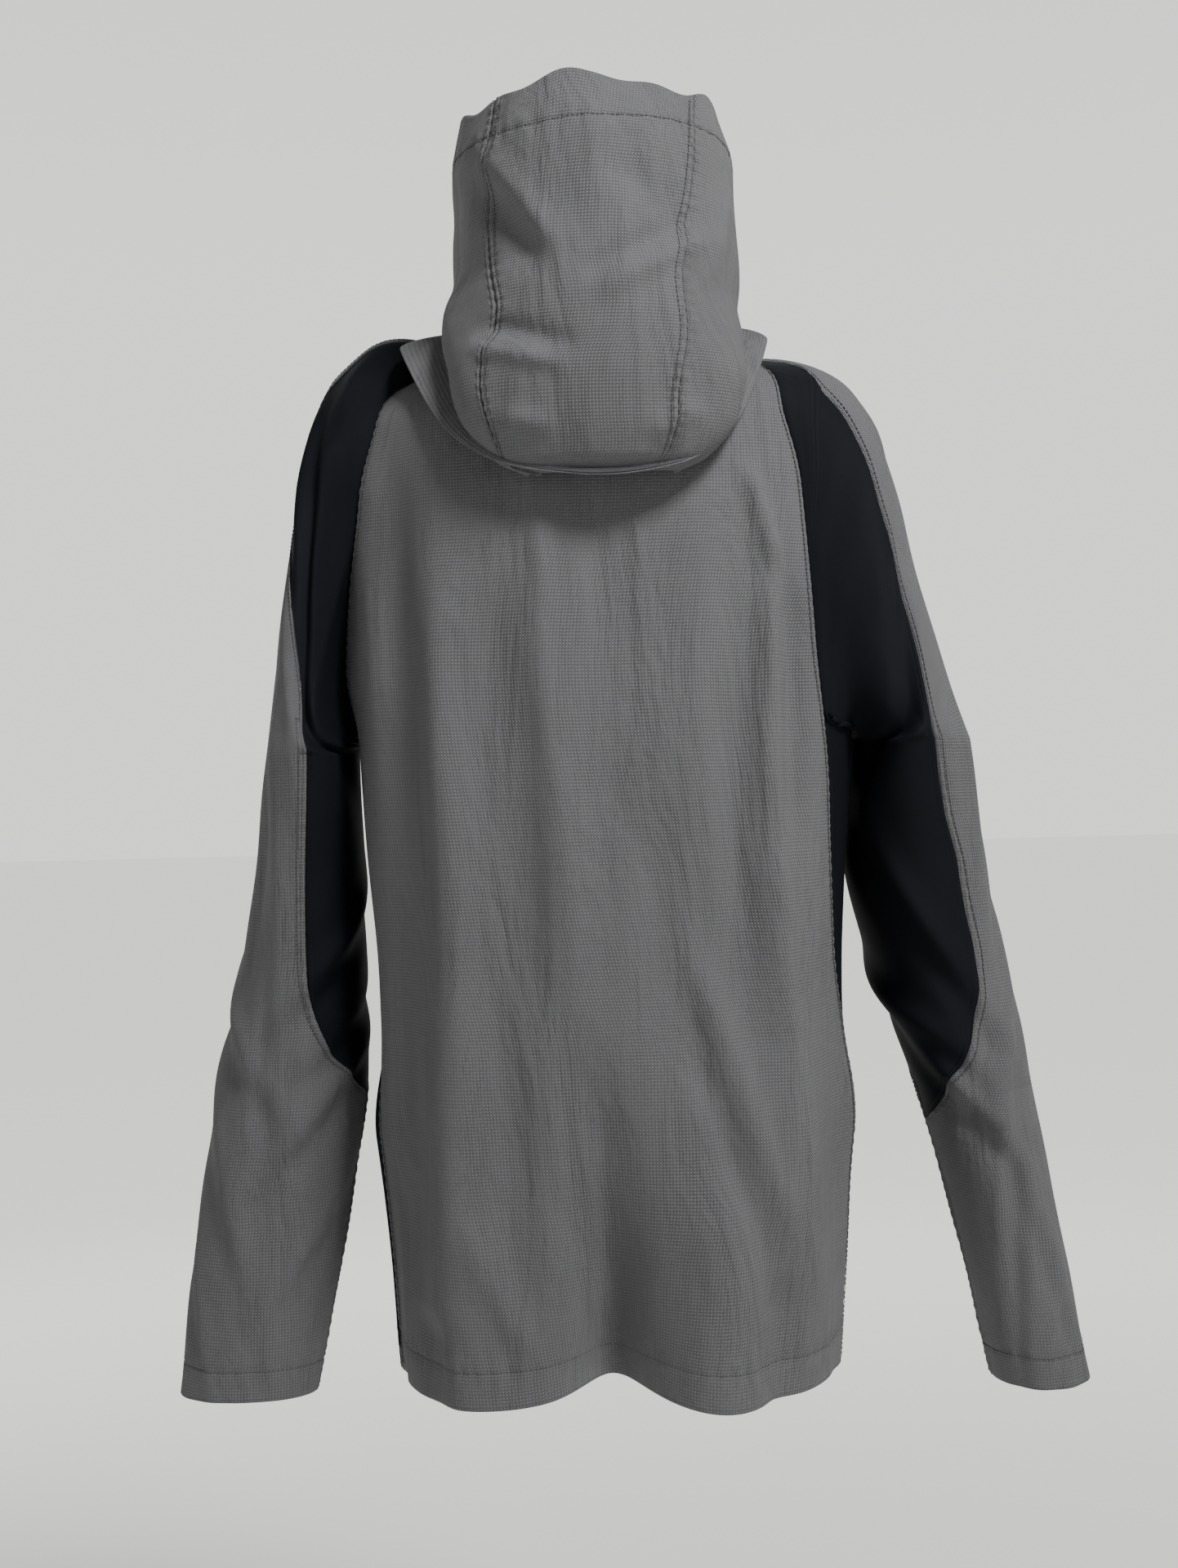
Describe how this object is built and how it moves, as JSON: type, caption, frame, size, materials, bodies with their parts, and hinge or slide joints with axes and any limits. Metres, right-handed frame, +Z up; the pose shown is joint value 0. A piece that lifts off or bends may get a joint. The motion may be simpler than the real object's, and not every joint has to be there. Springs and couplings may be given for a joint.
{
  "type": "hooded shell jacket",
  "caption": "Long-sleeved hooded shell jacket with dark side and underarm panels, hood hanging at the back, zipped front and hand pockets.",
  "frame": {"origin": "the seat for a peg inside the hang loop at the inside back of the neck", "axes": "+Z up along the hanging jacket, -Y out of the front with the zip, +X to the wearer's left"},
  "size_m": [0.6191, 0.3027, 0.84],
  "materials": {
    "grey_cloth": "embossed woven face, matt",
    "black_cloth": "smooth stretch woven face, matt",
    "lining_cloth": "brushed knit",
    "trim_tape": "woven tape",
    "mesh": "open knit mesh",
    "zip_plastic": "matt coated",
    "zip_metal": "black painted, satin",
    "label": "plain woven"
  },
  "bodies": {
    "torso": {"back_panel": "grey_cloth", "left_side_panel": "black_cloth", "right_side_panel": "black_cloth", "left_front_side": "grey_cloth", "right_front_side": "grey_cloth", "collar_back": "grey_cloth", "collar_lining": "lining_cloth", "neck_band": "grey_cloth", "back_hem_band": "lining_cloth", "hang_loop": "trim_tape", "neck_label": "label", "left_pocket_zip": "zip_plastic", "right_pocket_zip": "zip_plastic", "left_pocket_bag": "mesh", "right_pocket_bag": "mesh", "left_shoulder_outer": "grey_cloth", "left_shoulder_under": "black_cloth", "right_shoulder_outer": "grey_cloth", "right_shoulder_under": "black_cloth", "hood_neck_strip": "grey_cloth"},
    "left_front": {"left_front_panel": "grey_cloth", "left_collar_front": "grey_cloth", "left_zip_tape": "trim_tape", "left_zip_teeth": "zip_plastic", "left_top_stop": "zip_plastic", "zip_pin": "zip_plastic", "left_front_hem": "lining_cloth", "storm_flap": "black_cloth"},
    "right_front": {"right_front_panel": "grey_cloth", "right_collar_front": "grey_cloth", "right_zip_tape": "trim_tape", "right_zip_teeth": "zip_plastic", "right_top_stop": "zip_plastic", "zip_box": "zip_plastic", "right_front_hem": "lining_cloth"},
    "main_slider_body": {"main_slider": "zip_metal"},
    "main_pull_body": {"main_pull": "zip_metal"},
    "left_pocket_slider_body": {"left_pocket_slider": "zip_metal"},
    "left_pocket_pull_body": {"left_pocket_pull": "zip_metal"},
    "right_pocket_slider_body": {"right_pocket_slider": "zip_metal"},
    "right_pocket_pull_body": {"right_pocket_pull": "zip_metal"},
    "left_sleeve": {"left_sleeve_outer": "grey_cloth", "left_sleeve_under": "black_cloth", "left_cuff_hem": "lining_cloth"},
    "right_sleeve": {"right_sleeve_outer": "grey_cloth", "right_sleeve_under": "black_cloth", "right_cuff_hem": "lining_cloth"},
    "hood": {"hood_center": "grey_cloth", "hood_left": "grey_cloth", "hood_right": "grey_cloth", "hood_brim": "grey_cloth", "hood_inner": "grey_cloth"}
  },
  "joints": [
    {"name": "left_front_open", "type": "hinge", "parent": "torso", "child": "left_front", "pos_m": [0.07411, -0.16582, -0.303], "axis": [-0.0821, 0.0493, 0.9954], "range_deg": [0, 35]},
    {"name": "right_front_open", "type": "hinge", "parent": "torso", "child": "right_front", "pos_m": [-0.07411, -0.16582, -0.303], "axis": [-0.0821, -0.0493, -0.9954], "range_deg": [0, 35]},
    {"name": "main_zip_slide", "type": "slide", "parent": "right_front", "child": "main_slider_body", "axis": [0, -0.0649, -0.9979], "range_m": [0, 0.655]},
    {"name": "main_pull_swing", "type": "hinge", "parent": "main_slider_body", "child": "main_pull_body", "pos_m": [0, -0.16371, 0.03016], "axis": [-1, 0, 0], "range_deg": [0, 100]},
    {"name": "left_pocket_zip_slide", "type": "slide", "parent": "torso", "child": "left_pocket_slider_body", "axis": [0.0753, 0.0177, -0.997], "range_m": [0, 0.142]},
    {"name": "left_pocket_pull_swing", "type": "hinge", "parent": "left_pocket_slider_body", "child": "left_pocket_pull_body", "pos_m": [0.11814, -0.16324, -0.40316], "axis": [-0.7152, -0.6958, -0.0663], "range_deg": [0, 100]},
    {"name": "right_pocket_zip_slide", "type": "slide", "parent": "torso", "child": "right_pocket_slider_body", "axis": [-0.0753, 0.0177, -0.997], "range_m": [0, 0.142]},
    {"name": "right_pocket_pull_swing", "type": "hinge", "parent": "right_pocket_slider_body", "child": "right_pocket_pull_body", "pos_m": [-0.11814, -0.16324, -0.40316], "axis": [-0.7152, 0.6958, 0.0663], "range_deg": [0, 100]},
    {"name": "left_shoulder_raise", "type": "hinge", "parent": "torso", "child": "left_sleeve", "pos_m": [0.165, -0.0645, -0.106], "axis": [0, -1, 0], "range_deg": [0, 45], "deforming": ["left_shoulder_outer", "left_shoulder_under"]},
    {"name": "right_shoulder_raise", "type": "hinge", "parent": "torso", "child": "right_sleeve", "pos_m": [-0.165, -0.0645, -0.106], "axis": [0, 1, 0], "range_deg": [0, 45], "deforming": ["right_shoulder_outer", "right_shoulder_under"]},
    {"name": "hood_fold", "type": "hinge", "parent": "torso", "child": "hood", "pos_m": [0, -0.0045, 0.019], "axis": [1, 0, 0], "range_deg": [0, 35], "deforming": ["hood_neck_strip"]}
  ],
  "couplings": [
    {"joint": "right_front_open", "follows": "left_front_open", "ratio": 1},
    {"joint": "main_zip_slide", "follows": "left_front_open", "m_per_rad": 1.0722}
  ]
}
